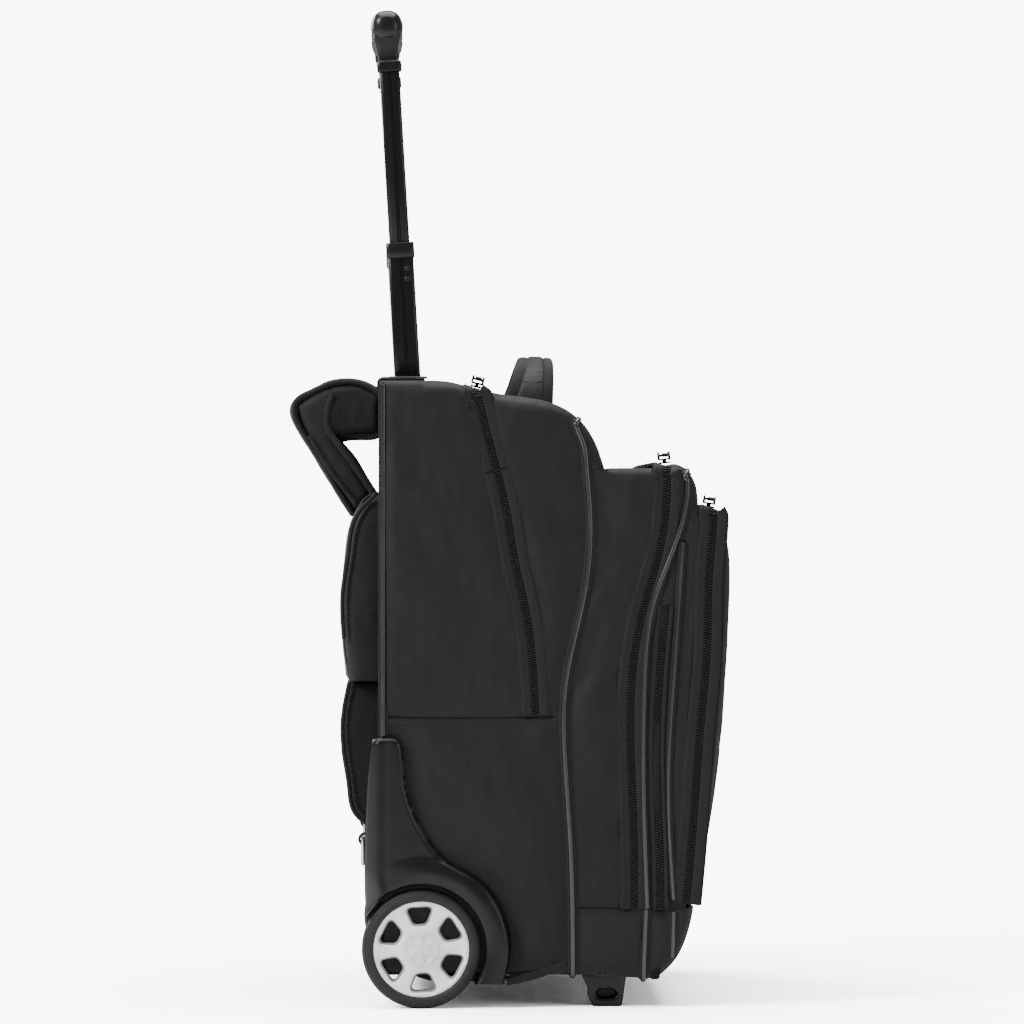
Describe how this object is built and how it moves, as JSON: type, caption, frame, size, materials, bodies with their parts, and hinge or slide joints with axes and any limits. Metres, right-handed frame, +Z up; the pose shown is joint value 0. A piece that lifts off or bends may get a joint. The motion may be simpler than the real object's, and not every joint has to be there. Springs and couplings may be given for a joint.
{
  "type": "rolling laptop case",
  "caption": "Soft-sided wheeled laptop case with telescopic pull handle, two wheels, zipped compartments, carry handle, back pad and stowed shoulder straps.",
  "frame": {"origin": "centre of the bounding box on the floor plane under the wheels and front feet", "axes": "+Z up, +X towards the front pockets, +Y across the width to the right of someone facing the front"},
  "size_m": [0.3318, 0.348, 0.771],
  "materials": {
    "shell_fabric": "woven charcoal cloth",
    "smooth_fabric": "smoother coated cloth",
    "lining": "plain lining",
    "mesh": "padded spacer mesh",
    "webbing": "padded strap cloth",
    "piping": "smooth extruded piping",
    "zip": "coil zip",
    "black_plastic": "satin moulded plastic",
    "grip_rubber": "soft grip",
    "board": "extruded sheet",
    "tube": "satin black anodised tube",
    "steel": "plain steel",
    "ring_metal": "bright plated",
    "tyre": "soft matt tyre",
    "rim": "silver rim"
  },
  "bodies": {
    "case": {"main_shell": "shell_fabric", "front_gusset": "shell_fabric", "trolley_bezel": "black_plastic", "bezel_screws": "steel", "main_zip_tape": "zip", "gusset_zip_tapes": "zip", "piping_case": "piping", "outer_tubes": "tube", "back_pad": "shell_fabric", "lumbar_pad": "mesh", "shoulder_strap_left": "webbing", "shoulder_strap_right": "webbing", "ring_tabs": "webbing", "back_board": "board", "trolley_panel": "board", "laptop_sleeve": "lining", "sleeve_strap": "webbing", "divider_panel": "lining", "base_board": "board", "organizer": "lining", "tube_brackets": "black_plastic", "axles": "steel", "front_feet": "black_plastic", "wheel_housing_left": "black_plastic", "wheel_housing_right": "black_plastic"},
    "top_cover": {"top_lid": "shell_fabric", "lid_zip_tape": "zip", "piping_lid": "piping", "handle_anchors": "black_plastic"},
    "front_cover": {"front_lid": "shell_fabric", "front_zip_tapes": "zip", "expander_zip": "zip", "piping_front": "piping", "piping_pocket": "piping"},
    "pocket_cover": {"pocket_flap": "shell_fabric", "flap_zip_tape": "zip"},
    "handle_lower": {"lower_tubes": "tube", "lower_collars": "black_plastic"},
    "handle_upper": {"upper_tubes": "tube", "grip": "black_plastic"},
    "handle_button": {"release_button": "black_plastic", "push_rods": "steel"},
    "carry_handle": {"carry_strap": "webbing", "carry_grip": "grip_rubber"},
    "wheel_left": {"tyre_left": "tyre", "rim_left": "rim", "bearings_left": "steel", "hub_cap_left": "rim"},
    "wheel_right": {"tyre_right": "tyre", "rim_right": "rim", "bearings_right": "steel", "hub_cap_right": "rim"},
    "ring_left": {"d_ring_left": "ring_metal"},
    "ring_right": {"d_ring_right": "ring_metal"},
    "main_zip_slider": {"main_slider": "ring_metal"},
    "main_zip_puller": {"main_puller": "black_plastic"},
    "front_zip_slider": {"front_slider": "ring_metal"},
    "front_zip_puller": {"front_puller": "black_plastic"},
    "pocket_zip_slider": {"pocket_slider": "ring_metal"},
    "pocket_zip_puller": {"pocket_puller": "black_plastic"}
  },
  "joints": [
    {"name": "top_cover_hinge", "type": "hinge", "parent": "case", "child": "top_cover", "pos_m": [0.072, 0, 0.4105], "axis": [0, 1, 0], "range_deg": [0, 90]},
    {"name": "front_cover_hinge", "type": "hinge", "parent": "case", "child": "front_cover", "pos_m": [0.138, 0, 0.071], "axis": [0, 1, 0], "range_deg": [0, 75]},
    {"name": "pocket_cover_hinge", "type": "hinge", "parent": "front_cover", "child": "pocket_cover", "pos_m": [0.1375, 0, 0.0785], "axis": [0, 1, 0], "range_deg": [0, 60]},
    {"name": "handle_lower_slide", "type": "slide", "parent": "case", "child": "handle_lower", "axis": [-0.0593, 0, 0.9982], "range_m": [-0.093, 0]},
    {"name": "handle_upper_slide", "type": "slide", "parent": "handle_lower", "child": "handle_upper", "axis": [-0.0593, 0, 0.9982], "range_m": [-0.13, 0]},
    {"name": "button_press", "type": "slide", "parent": "handle_upper", "child": "handle_button", "axis": [-0.0593, 0, 0.9982], "range_m": [-0.004, 0], "stiffness_N_per_m": 800, "springref_m": 0.004},
    {"name": "carry_handle_tilt", "type": "hinge", "parent": "top_cover", "child": "carry_handle", "pos_m": [0.014, 0, 0.467], "axis": [0, 1, 0], "range_deg": [-18, 18], "stiffness_Nm_per_rad": 0.5},
    {"name": "wheel_left_spin", "type": "hinge", "parent": "case", "child": "wheel_left", "pos_m": [-0.069, -0.161, 0.045], "axis": [0, 1, 0], "continuous": true},
    {"name": "wheel_right_spin", "type": "hinge", "parent": "case", "child": "wheel_right", "pos_m": [-0.069, 0.161, 0.045], "axis": [0, 1, 0], "continuous": true},
    {"name": "ring_left_swing", "type": "hinge", "parent": "case", "child": "ring_left", "pos_m": [-0.1135, -0.11, 0.125], "axis": [0, 1, 0], "range_deg": [-25, 90]},
    {"name": "ring_right_swing", "type": "hinge", "parent": "case", "child": "ring_right", "pos_m": [-0.1135, 0.11, 0.125], "axis": [0, 1, 0], "range_deg": [-25, 90]},
    {"name": "main_zip_travel", "type": "slide", "parent": "case", "child": "main_zip_slider", "axis": [0, 1, 0], "range_m": [-0.02, 0.27]},
    {"name": "main_puller_hinge", "type": "hinge", "parent": "main_zip_slider", "child": "main_zip_puller", "pos_m": [-0.02508, -0.125, 0.47871], "axis": [-0.9703, 0, 0.2419], "range_deg": [0, 150]},
    {"name": "front_zip_travel", "type": "slide", "parent": "case", "child": "front_zip_slider", "axis": [0, 1, 0], "range_m": [-0.03, 0.235]},
    {"name": "front_puller_hinge", "type": "hinge", "parent": "front_zip_slider", "child": "front_zip_puller", "pos_m": [0.11814, -0.115, 0.42067], "axis": [-0.9945, 0, -0.1045], "range_deg": [0, 150]},
    {"name": "pocket_zip_travel", "type": "slide", "parent": "front_cover", "child": "pocket_zip_slider", "axis": [0, 1, 0], "range_m": [-0.04, 0.25]},
    {"name": "pocket_puller_hinge", "type": "hinge", "parent": "pocket_zip_slider", "child": "pocket_zip_puller", "pos_m": [0.15409, -0.105, 0.3868], "axis": [-0.9848, 0, 0.1736], "range_deg": [0, 150]}
  ]
}
